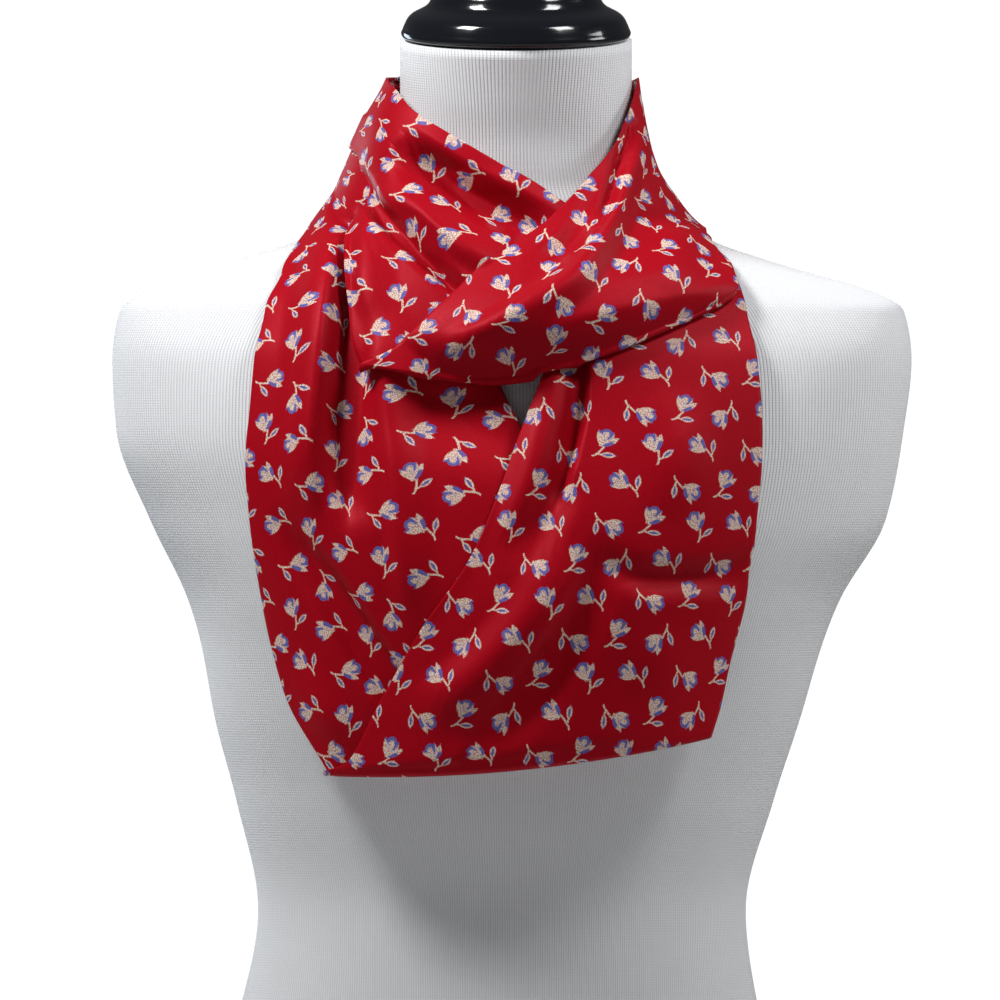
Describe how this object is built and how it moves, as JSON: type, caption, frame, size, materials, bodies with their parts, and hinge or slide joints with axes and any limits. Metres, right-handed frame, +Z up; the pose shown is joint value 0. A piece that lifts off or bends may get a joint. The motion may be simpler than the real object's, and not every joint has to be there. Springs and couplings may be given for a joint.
{
  "type": "infinity scarf on dress form",
  "caption": "Closed band of printed satin wound twice round the neck of a knit-covered dress form, with a long loop on the chest and a short folded loop over it.",
  "frame": {"origin": "middle of the bounding box at the flat base of the dress form", "axes": "+Z up, -Y towards someone who looks at the front, +X to the right as they see it"},
  "size_m": [0.399, 0.2634, 0.6622],
  "materials": {
    "red_satin": "soft satin sheen with a small printed flower",
    "pale_knit": "matt fine ribbed knit",
    "black_gloss": "polished lacquer"
  },
  "bodies": {
    "root": {"lower_left_stretch": "red_satin", "lower_right_stretch": "red_satin", "upper_left_stretch": "red_satin", "upper_right_stretch": "red_satin", "nape_band_high": "red_satin", "nape_band_low": "red_satin", "form_torso": "pale_knit", "neck_cap": "black_gloss"}
  },
  "joints": []
}
